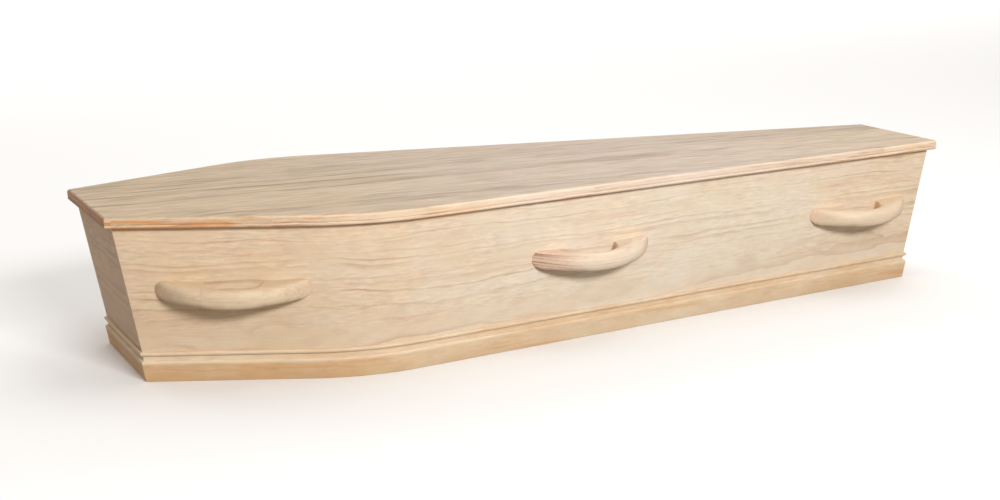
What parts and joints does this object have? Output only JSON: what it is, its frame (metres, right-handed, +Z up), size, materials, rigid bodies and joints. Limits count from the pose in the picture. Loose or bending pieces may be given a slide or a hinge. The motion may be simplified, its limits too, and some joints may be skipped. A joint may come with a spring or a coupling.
{
  "type": "wooden coffin",
  "caption": "Plain pine coffin with a flat tapered lift-off lid, leaning sides bent round the shoulders, beaded base moulding and carved wooden crescent handles.",
  "frame": {"origin": "on the ground under the middle of the lid", "axes": "+X along the coffin towards the foot, +Y towards the far side, +Z up"},
  "size_m": [2, 0.69, 0.335],
  "materials": {
    "lid_pine": "bare sanded pine, satin, fine lengthwise grain",
    "board_pine": "bare sanded pine, satin, long wavy grain",
    "moulding_pine": "bare sanded pine, satin, slightly warmer",
    "handle_pine": "carved and sanded pine, satin"
  },
  "bodies": {
    "root": {"lid": "lid_pine", "side_board_near": "board_pine", "side_board_far": "board_pine", "head_panel": "board_pine", "foot_panel": "board_pine", "floor_board": "board_pine", "base_moulding_near": "moulding_pine", "base_moulding_far": "moulding_pine", "base_moulding_head": "moulding_pine", "base_moulding_foot": "moulding_pine", "handle_near_head": "handle_pine", "handle_near_middle": "handle_pine", "handle_near_foot": "handle_pine", "handle_far_head": "handle_pine", "handle_far_middle": "handle_pine", "handle_far_foot": "handle_pine"}
  },
  "joints": []
}
